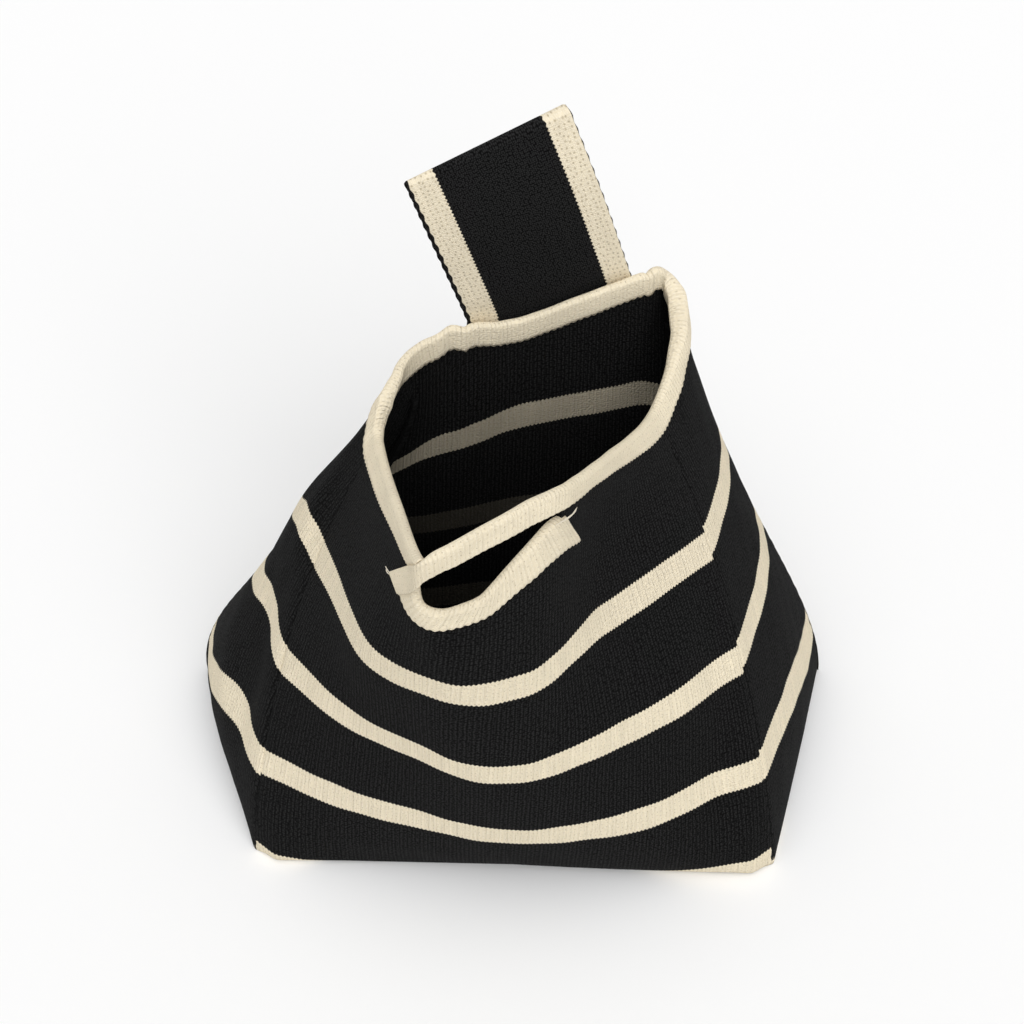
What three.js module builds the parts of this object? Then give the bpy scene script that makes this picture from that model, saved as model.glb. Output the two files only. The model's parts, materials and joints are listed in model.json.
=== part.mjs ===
// A small striped canvas tote with a wide wrist strap at the back and a finger slot under a grip bar in front.
// Millimetres, +Z up. The base rests on z = 0, the front faces -Y and the origin is the middle of the base.
import * as THREE from "three";

// Base of the bag
const BASE_FRONT = 250;
const BASE_BACK = 316;
const BASE_DEPTH = 112;
const BASE_SKEW = 4; // the front edge stands this much forward at its right end and back at its left end

// Cloth and tapes
const CLOTH = 2.2;
const TAPE = 1.4;
const RIM_TAPE_DROP = 7;
const RIM_TAPE_RISE = 4;
const SLOT_TAPE_RISE = 2.1;
const TAPE_EASE = 0.9; // slack between a folded tape and the cloth in it
const SEAM_ALLOWANCE = 8;
const SEAM_THICKNESS = 2.6;
const CLEARANCE = 0.3;
const WALL_LIFT = 0.8; // the wall edges stop just above the floor, so that the base carries the bag

// Wrist strap
const STRAP_WIDTH = 78;
const STRAP_THICKNESS = 2.2;
const STRAP_HEIGHT = 74;
const STRAP_LOOP_GAP = 15;
const STRAP_FLARE = 42; // height above the fold line at which the loop is fully open
const STRAP_LEAN = 12; // degrees back from upright
const STRAP_ROLL = 13; // degrees to the left along the rim
const STRAP_TOP_RISE = 16; // how much further the loop reaches at its right end than at its left one
const STRAP_SHIFT = 2.6; // along the rim from the middle between the strap's two stations
const STRAP_SEWN_LENGTH = 28;

// Finger slot, in stations round the bag (0 is the front middle) and in millimetres down from the rim
const SLOT_LEFT = -0.8;
const SLOT_RIGHT = 0.5;
const SLOT_DEPTH_LEFT = 38;
const SLOT_DEPTH_RIGHT = 10;
const SLOT_ROUNDING = 0.35; // share of the slot taken by its rounded left end
const SLOT_TAPE_WIDTH = 16;
const SLOT_TAPE_END = 0.86; // share of the slot's length where its tape stops
const GRIP_END_GAP = 0.9; // from each end of the slot to the grip bar, which rolls a little there

// Mesh fineness
const ROWS = 12;
const COLUMNS_PER_STATION = 4;
const SLOT_STEPS = 14;
const STRAP_STEPS = 8; // in each side and each bend of the strap loop

// Twelve stations round the bag, anticlockwise from the front middle. Each is a line of cloth from base to rim:
// the compass heading it bulges towards, its rim point, and how far it leans out at the base and in at the rim.
const STATIONS = [
  { name: "front middle", heading: -90, rim: [6, -53, 255], baseLean: 33, rimLean: 14 },
  { name: "front right quarter", heading: -90, rim: [33, -20, 239], baseLean: 32, rimLean: 1 },
  { name: "front right seam", heading: -35, rim: [62, 44, 203], baseLean: -9, rimLean: 34 },
  { name: "right side", heading: 0, rim: [75, 88, 213], baseLean: 3, rimLean: 15 },
  { name: "back right seam", heading: 40, rim: [69, 110, 222], baseLean: -6, rimLean: 0 },
  { name: "strap right end", heading: 90, rim: [49, 101, 227], baseLean: 12, rimLean: -8 },
  { name: "back middle", heading: 90, rim: [3, 82, 222], baseLean: 6, rimLean: -12 },
  { name: "strap left end", heading: 90, rim: [-22, 73, 226], baseLean: 2, rimLean: -13 },
  { name: "back left seam", heading: 140, rim: [-45, 67, 217], baseLean: 2, rimLean: -11 },
  { name: "left side", heading: 180, rim: [-59, 46, 213], baseLean: 17, rimLean: 29 },
  { name: "front left seam", heading: 215, rim: [-63, 28, 203], baseLean: -7, rimLean: 41 },
  { name: "front left tip", heading: -90, rim: [-38, -74, 248], baseLean: 16, rimLean: -7 },
];
const SEAMS = { front_right: 2, back_right: 4, back_left: 8, front_left: 10 };
const CREASE_TOP = 0.55; // share of the height up to which the seams stay sharp
const TIP = 11; // the station where the left rim meets the grip bar in a point
const TIP_START = 0.75; // share of the height where that point begins to form
const TIP_ROUNDNESS = 0.3;

const CANVAS_BLACK = 0x1d1d1f;
const TAPE_CREAM = 0xe9dcc3;
const INNER_TAPE = 0x2a2a2c;

const UP = new THREE.Vector3(0, 0, 1);
const STATION_STEP = 0.02; // steps over which directions on the cloth are measured
const SHARE_STEP = 0.01;
const count = STATIONS.length;
const wrap = (i) => ((i % count) + count) % count;
const mix = (a, b, f) => a + (b - a) * f;
const ease = (f) => f * f * (3 - 2 * f);
const shareBetween = (x, from, to) => THREE.MathUtils.clamp((x - from) / (to - from), 0, 1);
const range = (n, from, to) => Array.from({ length: n + 1 }, (_, k) => mix(from, to, k / n));

// Outline of the base: four corners, with the other stations spaced along its edges
function basePoint(i) {
  const frontLeft = [-BASE_FRONT / 2, -BASE_DEPTH / 2 + BASE_SKEW];
  const frontRight = [BASE_FRONT / 2, -BASE_DEPTH / 2 - BASE_SKEW];
  const backRight = [BASE_BACK / 2, BASE_DEPTH / 2];
  const backLeft = [-BASE_BACK / 2, BASE_DEPTH / 2];
  const edges = [
    [frontLeft, frontRight, -2, 2],
    [frontRight, backRight, 2, 4],
    [backRight, backLeft, 4, 8],
    [backLeft, frontLeft, 8, 10],
  ];
  const at = i > SEAMS.front_left ? i - count : i;
  const [a, b, from, to] = edges.find(([, , low, high]) => at >= low && at <= high);
  const f = (at - from) / (to - from);
  return new THREE.Vector3(mix(a[0], b[0], f), mix(a[1], b[1], f), WALL_LIFT);
}

// One station as a curve: it starts and ends at its leans, with handles a third of its span long
function stationCurve(station, i) {
  const base = basePoint(i);
  const rim = new THREE.Vector3(...station.rim);
  const heading = THREE.MathUtils.degToRad(station.heading);
  const outward = new THREE.Vector3(Math.cos(heading), Math.sin(heading), 0);
  const reach = base.distanceTo(rim) / 3;
  const handle = (lean, rise) => {
    const angle = THREE.MathUtils.degToRad(lean);
    const side = outward.clone().multiplyScalar(Math.sin(angle) * reach);
    return side.addScaledVector(UP, Math.cos(angle) * reach * rise);
  };
  const first = base.clone().add(handle(station.baseLean, 1));
  const second = rim.clone().add(handle(station.rimLean, -1));
  return new THREE.CubicBezierCurve3(base, first, second, rim);
}

const curves = STATIONS.map(stationCurve);
const lengths = curves.map((curve) => curve.getLength());
const ringPoint = (i, v) => curves[wrap(i)].getPointAt(THREE.MathUtils.clamp(v, 0, 1));
const isSeam = (i) => Object.values(SEAMS).includes(wrap(i));

// Direction of a ring where it leaves (side 1) or reaches (side -1) a station; creased at the seams lower down
function ringTangent(i, v, side) {
  const smooth = ringPoint(i + 1, v).sub(ringPoint(i - 1, v)).multiplyScalar(0.5);
  if (wrap(i) === TIP) return smooth.multiplyScalar(mix(1, TIP_ROUNDNESS, ease(shareBetween(v, TIP_START, 1))));
  if (!isSeam(i)) return smooth;
  const near = ringPoint(i + side, v).multiplyScalar(4);
  const creased = near.addScaledVector(ringPoint(i, v), -3).sub(ringPoint(i + 2 * side, v));
  const softness = shareBetween(v, CREASE_TOP, 1) ** 1.5;
  return creased.multiplyScalar(side / 2).lerp(smooth, softness);
}

// Point on the outer face at station value s and height share v
function face(s, v) {
  const i = Math.floor(s);
  const f = s - i;
  const f2 = f * f;
  const f3 = f2 * f;
  const point = ringPoint(i, v).multiplyScalar(2 * f3 - 3 * f2 + 1);
  point.addScaledVector(ringTangent(i, v, 1), f3 - 2 * f2 + f);
  point.addScaledVector(ringPoint(i + 1, v), 3 * f2 - 2 * f3);
  return point.addScaledVector(ringTangent(i + 1, v, -1), f3 - f2);
}

// Length of cloth from base to rim, and places on it as shares of that length
function clothHeight(s) {
  const i = Math.floor(s);
  return mix(lengths[wrap(i)], lengths[wrap(i + 1)], ease(s - i));
}
const shareAtDepth = (s, depth) => 1 - depth / clothHeight(s);
const shareAtHeight = (s, height) => height / clothHeight(s);

// Direction along a ring; at a seam it halves the angle between both sides
function along(s, v) {
  if (Number.isInteger(s)) return ringTangent(s, v, 1).normalize().add(ringTangent(s, v, -1).normalize());
  return face(s + STATION_STEP, v).sub(face(s - STATION_STEP, v));
}

// Outward normal of the outer face
function normal(s, v) {
  const rise = face(s, Math.min(v + SHARE_STEP, 1)).sub(face(s, Math.max(v - SHARE_STEP, 0)));
  return along(s, v).cross(rise).normalize();
}

// Point at a distance out from the middle of the cloth
const layer = (s, v, out) => face(s, v).addScaledVector(normal(s, v), out - CLOTH / 2);

// Closed solid through sections, each a strip with an outer and an inner line of points
function stripSolid(sections, closed = false) {
  const half = sections[0].outer.length;
  const loop = 2 * half;
  const points = sections.flatMap(({ outer, inner }) => [...outer, ...[...inner].reverse()]);
  const triangles = [];
  const quad = (a, b, c, d) => triangles.push(a, b, c, a, c, d);
  const turns = closed ? sections.length : sections.length - 1;
  for (let k = 0; k < turns; k += 1) {
    const here = k * loop;
    const next = ((k + 1) % sections.length) * loop;
    for (let j = 0; j < loop; j += 1) {
      const beside = (j + 1) % loop;
      quad(here + j, next + j, next + beside, here + beside);
    }
  }
  if (!closed) {
    const last = (sections.length - 1) * loop;
    for (let j = 0; j < half - 1; j += 1) {
      quad(j, j + 1, loop - 2 - j, loop - 1 - j);
      quad(last + j, last + loop - 1 - j, last + loop - 2 - j, last + j + 1);
    }
  }
  let volume = 0;
  for (let k = 0; k < triangles.length; k += 3) {
    const [a, b, c] = triangles.slice(k, k + 3).map((n) => points[n]);
    volume += a.dot(b.clone().cross(c));
  }
  if (volume < 0) triangles.reverse();
  const geometry = new THREE.BufferGeometry();
  geometry.setAttribute("position", new THREE.Float32BufferAttribute(points.flatMap((p) => p.toArray()), 3));
  geometry.setIndex(triangles);
  return geometry;
}

const bag = new THREE.Group();

function addPiece(name, geometry, color, parent = bag) {
  const material = new THREE.MeshStandardMaterial({ color, roughness: 0.9, metalness: 0 });
  const mesh = new THREE.Mesh(geometry, material);
  mesh.name = name;
  parent.add(mesh);
}

// Depth of the finger slot's cut edge at share q of its length: a rounded left end, then a straight taper
function slotDepth(q) {
  const taper = mix(SLOT_DEPTH_LEFT, SLOT_DEPTH_RIGHT, q);
  const end = Math.min(q / SLOT_ROUNDING, 1);
  return taper * Math.sqrt(1 - (1 - end) ** 2);
}

function cutDepth(s) {
  const q = (s - SLOT_LEFT) / (SLOT_RIGHT - SLOT_LEFT);
  return q > 0 && q < 1 ? slotDepth(q) : 0;
}

// Shares of the slot's length at which its edge is drawn, closest at its ends
const slotShares = range(SLOT_STEPS, 0, 1).map(ease);

// Wall panel between two seams, stopping short of each by half the clearance, with mitred seam edges
function panelColumns(from, to) {
  const even = range((to - from) * COLUMNS_PER_STATION, from, to);
  const inPanel = slotShares.map((q) => mix(SLOT_LEFT, SLOT_RIGHT, q)).filter((s) => s > from && s < to);
  const edge = 0.001;
  const jumps = [SLOT_RIGHT - edge, SLOT_RIGHT + edge].filter((s) => s > from && s < to);
  const clear = even.filter((s) => inPanel.length === 0 || s < SLOT_LEFT || s > SLOT_RIGHT);
  return [...clear, ...inPanel.filter((s) => s !== SLOT_RIGHT), ...jumps].sort((a, b) => a - b);
}

function wallPanel(from, to) {
  const columns = panelColumns(from, to);
  const sections = columns.map((s) => {
    const cut = cutDepth(s);
    const hem = shareAtDepth(s, cut + (cut > 0 ? SLOT_TAPE_WIDTH : RIM_TAPE_DROP));
    const shares = [...range(ROWS, 0, hem), shareAtDepth(s, cut)];
    const isEdge = s === from || s === to;
    const toward = s === from ? 1 : -1;
    const outer = shares.map((v) => {
      const point = face(s, v);
      if (!isEdge) return point;
      const step = ringTangent(s, v, toward).normalize();
      return point.addScaledVector(step, toward * CLEARANCE * 0.75);
    });
    const inner = shares.map((v, k) => outer[k].clone().addScaledVector(normal(s, v), -CLOTH));
    return { outer, inner };
  });
  return stripSolid(sections);
}

// Base panel inside the foot of the walls
const BASE_INSET = CLOTH + 3 * CLEARANCE;
const baseStations = range(count * 2, 0, count).slice(0, -1);

function baseEdge(s, inset) {
  const outward = normal(s, 0).setZ(0).normalize();
  return face(s, 0).addScaledVector(outward, -inset);
}

function basePanel() {
  const outline = baseStations.map((s) => baseEdge(s, BASE_INSET));
  const shape = new THREE.Shape(outline.map((p) => new THREE.Vector2(p.x, p.y)));
  return new THREE.ExtrudeGeometry(shape, { depth: CLOTH, bevelEnabled: false });
}

// Bound seam allowance lying on the base panel, all round
function baseBinding() {
  const low = CLOTH + CLEARANCE;
  const high = low + SEAM_THICKNESS;
  const sections = baseStations.map((s) => {
    const outside = baseEdge(s, BASE_INSET + CLEARANCE);
    const inside = baseEdge(s, BASE_INSET + CLEARANCE + SEAM_ALLOWANCE);
    return {
      outer: [outside.clone().setZ(low), outside.clone().setZ(high)],
      inner: [inside.clone().setZ(low), inside.clone().setZ(high)],
    };
  });
  return stripSolid(sections, true);
}

// Bound seam allowance standing inside a corner seam, as close to the corner as its thickness allows
function seamBinding(s) {
  const start = shareAtHeight(s, CLOTH + SEAM_THICKNESS + SEAM_ALLOWANCE / 2);
  const end = shareAtDepth(s, RIM_TAPE_DROP + 6 * CLEARANCE);
  const sections = range(ROWS, start, end).map((v) => {
    const inward = normal(s, v).negate();
    const side = along(s, v).normalize();
    const wallStep = 0.5 / COLUMNS_PER_STATION;
    const roots = [wallStep, -wallStep].map((step) => {
      const opening = Math.asin(-inward.dot(normal(s + step, v)));
      return (CLOTH + 2 * CLEARANCE + (SEAM_THICKNESS / 2) * Math.cos(opening)) / Math.sin(opening);
    });
    const root = Math.max(...roots);
    const at = (depth, offset) => face(s, v).addScaledVector(inward, depth).addScaledVector(side, offset);
    const corner = (depth) => [at(depth, -SEAM_THICKNESS / 2), at(depth, SEAM_THICKNESS / 2)];
    return { outer: corner(root), inner: corner(root + SEAM_ALLOWANCE) };
  });
  return stripSolid(sections);
}

// Tape folded over a cloth edge. Each path is a list of [station, depth] from the free edge to the tape's hem.
const tapeBack = CLOTH / 2 + TAPE_EASE; // out from the middle of the cloth
const tapeFace = tapeBack + TAPE;

function foldedTape(paths, rise) {
  const sections = paths.map((path) => {
    const at = ([s, depth], out) => layer(s, shareAtDepth(s, depth), out);
    const over = at(path[0], 0).sub(at(path[1], 0)).normalize();
    const cap = (out, height) => at(path[0], out).addScaledVector(over, height);
    const leg = (out) => path.slice(1).map((place) => at(place, out));
    return {
      outer: [...leg(tapeFace).reverse(), cap(tapeFace, rise), cap(-tapeFace, rise), ...leg(-tapeFace)],
      inner: [
        ...leg(tapeBack).reverse(),
        cap(tapeBack, TAPE_EASE),
        cap(-tapeBack, TAPE_EASE),
        ...leg(-tapeBack),
      ],
    };
  });
  return stripSolid(sections);
}

// Stations passed in a distance along the rim
const stationsIn = (distance, s) => (distance * 2 * STATION_STEP) / along(s, 1).length();

function rimTape() {
  const from = SLOT_RIGHT + stationsIn(CLEARANCE, SLOT_RIGHT);
  const to = SLOT_LEFT + count - stationsIn(CLEARANCE, SLOT_LEFT);
  const even = range(count * COLUMNS_PER_STATION, 0, count).filter((s) => s > from && s < to);
  const paths = [from, ...even, to].map((s) => [[s, 0], [s, RIM_TAPE_DROP]]);
  return foldedTape(paths, RIM_TAPE_RISE);
}

function slotTape() {
  const taped = slotShares.filter((q) => q > 0 && q < SLOT_TAPE_END);
  const paths = taped.map((q) => {
    const s = mix(SLOT_LEFT, SLOT_RIGHT, q);
    return [[s, slotDepth(q)], [s, slotDepth(q) + SLOT_TAPE_WIDTH]];
  });
  return foldedTape(paths, SLOT_TAPE_RISE);
}

// Grip bar: the rim tape carried on across the slot, with no cloth in it
const gripLeft = SLOT_LEFT + stationsIn(GRIP_END_GAP, SLOT_LEFT);
const gripRight = SLOT_RIGHT - stationsIn(GRIP_END_GAP, SLOT_RIGHT);

function gripBar() {
  const sections = range(SLOT_STEPS, gripLeft, gripRight).map((s) => {
    const over = layer(s, 1, 0).sub(layer(s, shareAtDepth(s, RIM_TAPE_DROP), 0)).normalize();
    const at = (out, height) => layer(s, 1, out).addScaledVector(over, height);
    return {
      outer: [at(tapeFace, -RIM_TAPE_DROP), at(tapeFace, RIM_TAPE_RISE)],
      inner: [at(-tapeFace, -RIM_TAPE_DROP), at(-tapeFace, RIM_TAPE_RISE)],
    };
  });
  return stripSolid(sections);
}

// Strap frame: X out from the back wall, Y up and Z along the rim, from the strap's left end
const [STRAP_RIGHT_END, STRAP_MIDDLE, STRAP_LEFT_END] = [5, 6, 7];
const STRAP_MARGIN = 0.05; // stations past each end that the strap's seat is cleared for
const strapAlong = face(STRAP_RIGHT_END, 1).sub(face(STRAP_LEFT_END, 1)).normalize();
const strapOut = UP.clone().cross(strapAlong).normalize();
const strapUp = strapAlong.clone().cross(strapOut);
const strapMiddle = face(STRAP_RIGHT_END, 1).lerp(face(STRAP_LEFT_END, 1), 0.5);
const strapFoot = strapMiddle.addScaledVector(strapAlong, STRAP_SHIFT - STRAP_WIDTH / 2);
const strap = new THREE.Group();
strap.position.copy(strapFoot);
strap.quaternion.setFromRotationMatrix(new THREE.Matrix4().makeBasis(strapOut, strapUp, strapAlong));
bag.add(strap);

// Outermost reach of the rim tape behind the strap, and the slope of the wall below it
const tapeReach = (s) => {
  const hem = layer(s, shareAtDepth(s, RIM_TAPE_DROP), tapeFace);
  const edge = layer(s, 1, tapeFace);
  const crest = edge.clone().addScaledVector(edge.clone().sub(hem).normalize(), RIM_TAPE_RISE);
  return Math.max(...[hem, edge, crest].map((point) => point.sub(strapFoot).dot(strapOut)));
};
const seat = range(2 * STRAP_STEPS, STRAP_RIGHT_END - STRAP_MARGIN, STRAP_LEFT_END + STRAP_MARGIN);
const sewnShare = shareAtDepth(STRAP_MIDDLE, STRAP_SEWN_LENGTH);
const wallFall = face(STRAP_MIDDLE, sewnShare).sub(face(STRAP_MIDDLE, 1));
const wallSlope = wallFall.dot(strapOut) / wallFall.dot(strapUp);
const leafStart = Math.max(...seat.map(tapeReach)) + CLEARANCE;
const foldRadius = STRAP_THICKNESS + CLEARANCE / 2;
const foldHeight = RIM_TAPE_RISE + CLEARANCE + foldRadius;
const foldOut = leafStart + foldRadius;

function strapLeaf(start) {
  const top = foldHeight - foldRadius - CLEARANCE;
  const bottom = -STRAP_SEWN_LENGTH;
  const corner = (out, height) => new THREE.Vector2(start + out + wallSlope * Math.min(height, 0), height);
  const outline = [corner(0, bottom), corner(STRAP_THICKNESS, bottom), corner(STRAP_THICKNESS, 0)];
  outline.push(corner(STRAP_THICKNESS, top), corner(0, top), corner(0, 0));
  return new THREE.ExtrudeGeometry(new THREE.Shape(outline), { depth: STRAP_WIDTH, bevelEnabled: false });
}

// Leans the loop to the left along the rim and lifts its right end; the fold line stays where it is
const lean = THREE.MathUtils.degToRad(STRAP_LEAN);
const loopUp = new THREE.Vector3(Math.sin(lean), Math.cos(lean), 0);

function rolled(geometry) {
  const sideways = Math.tan(THREE.MathUtils.degToRad(STRAP_ROLL));
  const fold = new THREE.Vector3(foldOut, foldHeight, STRAP_WIDTH / 2);
  const place = geometry.attributes.position;
  const point = new THREE.Vector3();
  for (let k = 0; k < place.count; k += 1) {
    point.fromBufferAttribute(place, k).sub(fold);
    const up = Math.max(point.dot(loopUp), 0);
    const lift = (up / STRAP_HEIGHT) * STRAP_TOP_RISE * (point.z / STRAP_WIDTH);
    point.addScaledVector(loopUp, lift).add(fold);
    place.setXYZ(k, point.x, point.y, point.z - (up + lift) * sideways);
  }
  return geometry;
}

// Loop outline in its own plane: half width grows from the fold line to the open loop and closes in a round top
function strapLoop() {
  const openHalf = STRAP_LOOP_GAP / 2 + STRAP_THICKNESS;
  const place = (across, up) =>
    new THREE.Vector2(
      foldOut + across * Math.cos(lean) + up * Math.sin(lean),
      foldHeight - across * Math.sin(lean) + up * Math.cos(lean),
    );
  const halfAt = (up) => mix(foldRadius, openHalf, ease(Math.min(up / STRAP_FLARE, 1)));
  const shoulder = STRAP_HEIGHT - openHalf;
  const sides = range(STRAP_STEPS, 0, shoulder);
  const arc = (radius, up, from) =>
    range(STRAP_STEPS, from, from + Math.PI).map((a) => place(radius * Math.cos(a), up + radius * Math.sin(a)));
  const arch = (radius) => arc(radius, shoulder, 0);
  const knuckle = arc(foldRadius, 0, Math.PI);
  const right = sides.map((up) => place(halfAt(up), up));
  const left = sides.map((up) => place(-halfAt(up), up)).reverse();
  const outline = [...right.slice(0, -1), ...arch(openHalf), ...left.slice(1, -1), ...knuckle.slice(0, -1)];
  const shape = new THREE.Shape(outline);
  const inside = sides.filter((up) => halfAt(up) > foldRadius + CLEARANCE);
  const innerRight = inside.map((up) => place(halfAt(up) - STRAP_THICKNESS, up));
  const innerLeft = inside.map((up) => place(STRAP_THICKNESS - halfAt(up), up)).reverse();
  const innerTop = arch(openHalf - STRAP_THICKNESS);
  shape.holes.push(new THREE.Path([...innerRight.slice(0, -1), ...innerTop, ...innerLeft.slice(1)]));
  return rolled(new THREE.ExtrudeGeometry(shape, { depth: STRAP_WIDTH, bevelEnabled: false }));
}

addPiece("base_panel", basePanel(), CANVAS_BLACK);
addPiece("front_panel", wallPanel(SEAMS.front_left - count, SEAMS.front_right), CANVAS_BLACK);
addPiece("right_gusset", wallPanel(SEAMS.front_right, SEAMS.back_right), CANVAS_BLACK);
addPiece("back_panel", wallPanel(SEAMS.back_right, SEAMS.back_left), CANVAS_BLACK);
addPiece("left_gusset", wallPanel(SEAMS.back_left, SEAMS.front_left), CANVAS_BLACK);
addPiece("base_seam_binding", baseBinding(), INNER_TAPE);
for (const [corner, s] of Object.entries(SEAMS)) addPiece(`${corner}_seam_binding`, seamBinding(s), INNER_TAPE);
addPiece("rim_binding", rimTape(), TAPE_CREAM);
addPiece("slot_binding", slotTape(), TAPE_CREAM);
addPiece("grip_bar", gripBar(), TAPE_CREAM);
addPiece("strap_front_end", strapLeaf(leafStart), CANVAS_BLACK, strap);
addPiece("strap_back_end", strapLeaf(leafStart + STRAP_THICKNESS + CLEARANCE), CANVAS_BLACK, strap);
addPiece("strap_loop", strapLoop(), CANVAS_BLACK, strap);

export default bag;
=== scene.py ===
"""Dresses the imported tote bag: striped canvas walls, cream bindings, a grip bar and a wrist strap."""
import json
import math

import bmesh
import bpy
import numpy as np
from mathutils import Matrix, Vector


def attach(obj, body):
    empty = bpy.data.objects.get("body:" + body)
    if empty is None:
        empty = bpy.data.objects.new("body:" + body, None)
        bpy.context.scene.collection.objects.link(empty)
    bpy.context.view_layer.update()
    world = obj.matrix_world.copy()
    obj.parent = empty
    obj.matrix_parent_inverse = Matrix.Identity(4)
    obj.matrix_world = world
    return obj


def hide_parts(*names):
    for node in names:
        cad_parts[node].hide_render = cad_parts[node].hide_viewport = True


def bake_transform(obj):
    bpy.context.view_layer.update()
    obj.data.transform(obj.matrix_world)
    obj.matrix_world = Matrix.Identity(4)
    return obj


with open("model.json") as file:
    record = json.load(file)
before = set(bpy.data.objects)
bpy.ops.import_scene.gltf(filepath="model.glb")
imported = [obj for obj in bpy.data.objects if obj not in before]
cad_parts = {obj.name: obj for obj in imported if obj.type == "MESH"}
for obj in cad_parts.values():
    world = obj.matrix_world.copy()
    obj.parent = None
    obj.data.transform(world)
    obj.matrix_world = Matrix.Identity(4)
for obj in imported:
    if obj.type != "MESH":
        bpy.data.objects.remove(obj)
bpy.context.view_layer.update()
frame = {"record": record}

MM = 0.001  # sizes below are in millimetres, meshes in metres
UP = np.array([0.0, 0.0, 1.0])
TURN = 2 * math.pi

# Sizes shared with the part's source
BASE_FRONT, BASE_BACK, BASE_DEPTH, BASE_SKEW = 250, 316, 112, 4
WALL_LIFT = 0.8  # foot of the walls above the surface that the bag stands on
CLOTH = 2.2
RIM_TAPE_DROP, RIM_TAPE_RISE = 7, 4
SEAM_ALLOWANCE, SEAM_THICKNESS = 8, 2.6
CLEARANCE = 0.3
STRAP_WIDTH, STRAP_THICKNESS, STRAP_SEWN_LENGTH = 78, 2.2, 28
STRAP_LEAN, STRAP_TOP_RISE = 12, 16  # degrees back, and extra height at the right

# Round the bag, anticlockwise from the front middle: heading, rim point, lean at the base and lean at the rim.
# The left rim, stations 9 to 11, is drawn in by a few millimetres more than in the part's source.
STATIONS = [
    (-90, (6, -53, 255), 33, 14),
    (-90, (33, -20, 239), 32, 1),
    (-35, (62, 44, 203), -9, 34),
    (0, (75, 88, 213), 3, 15),
    (40, (69, 110, 222), -6, 0),
    (90, (49, 101, 227), 12, -8),
    (90, (3, 82, 222), 6, -12),
    (90, (-22, 73, 226), 2, -13),
    (140, (-45, 67, 217), 2, -11),
    (180, (-55.5, 46, 213), 17, 29),
    (215, (-59.5, 28, 203), -7, 41),
    (-90, (-36, -74, 248), 16, -7),
]
COUNT = len(STATIONS)
FRONT_RIGHT, BACK_RIGHT, BACK_LEFT, FRONT_LEFT = SEAMS = (2, 4, 8, 10)
FRONT_START = FRONT_LEFT - COUNT  # the front left seam, counted back from the front middle
CREASE_TOP = 0.55  # share of the height up to which the seams stay sharp
TIP, TIP_START, TIP_ROUNDNESS = 11, 0.75, 0.3  # the point where the left rim meets the grip bar
# Longest swing of the rim between two stations as a share of their distance, the share of the height
# where that limit starts, and over how much of the height it sets in
RIM_SWING, RIM_SWING_START, RIM_SWING_OVER = 1.3, 0.6, 0.3

# Broad folds: station, height, half width in stations, half height, and how far out
FOLDS = [
    (-0.9, 32, 0.8, 30, 2.4),
    (-1.0, 110, 0.42, 32, -2.8),
    (-0.7, 192, 0.4, 32, 3.2),
    (-0.5, 145, 0.45, 45, 3.0),
    (-1.32, 172, 0.28, 26, 5.0),
    (0.95, 125, 0.45, 28, 4.2),
    (1.5, 118, 0.3, 30, 3.5),
    (1.7, 66, 0.4, 30, -4.5),
    (1.25, 208, 0.45, 32, -5.0),
    (9.55, 75, 0.35, 34, -5.0),
    (9.45, 118, 0.5, 34, -4.0),
    (9.6, 178, 0.3, 24, 3.0),
    (9.0, 172, 0.4, 32, 3.2),
]
UNEVEN_BROAD, UNEVEN_NARROW = 0.35, 0.1  # depth of the cloth's soft unevenness
FOLD_FROM_SEAM, FOLD_FROM_BASE = 0.4, 30  # stations and height over which folds and unevenness set in
# Belly of the front's foot: in the middle, growth with each station, end before the corners, and height
FOOT_SAG, FOOT_SAG_GROWTH, FOOT_SAG_END, FOOT_SAG_HEIGHT = 3.8, 1.3, 0.2, 30

# Sewn edges of the walls
SEAM_ROLL = (80, 1.3), (150, 0.6)  # height, and how far the edges are rolled in there
SEAM_ROLL_WIDTH = 3.5
SEAM_FLATTEN = 10  # height over which the seams flatten below the rim tape
# Puckers along a seam: depth as a share of the roll's, spacing, slant, and reach from the seam
PUCKER_SHARE, PUCKER_LENGTH, PUCKER_SLANT, PUCKER_WIDTH = 0.23, 8.5, 4, 5
SEAM_THIN, SEAM_THIN_WIDTH = 0.3, 6  # share of the thickness left at a seam, and the width over which it grows
FOOT_INSET, FOOT_DROP, FOOT_TURN = 1.2, 0.7, 3  # the foot's turn inwards, its share of the lift, and its height
INNER_FOOT = 0.1  # lowest height of the walls' inner side

# Bindings: the drawn tape is thinner than its solid and lies closer to the cloth
TAPE = 0.9
TAPE_OUT = CLOTH / 2 + 0.2 + TAPE / 2  # middle of the tape from the middle of the cloth
TAPE_FACE = TAPE_OUT + TAPE / 2
HEM_LOOP = 3.2  # spacing of the small loops along the tape's hems
HEM_STEP, GRIP_HEM_STEP = 0.35, 0.3  # how far the loops step in and out
HEM_PRESS = 0.3  # the hems lie this much closer to the cloth
# Places of the rim tape: station, half width, and how much lower it lies or how much wider its fold opens there
RIM_DENTS = [(6.97, 0.08, 1.3), (7.22, 0.13, -1.7), (4.35, 0.3, -2.4), (4.58, 0.07, 2.0)]
RIM_FLARES = [(9.2, 0.6, 0.7), (3.3, 0.75, 1.3)]

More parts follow.
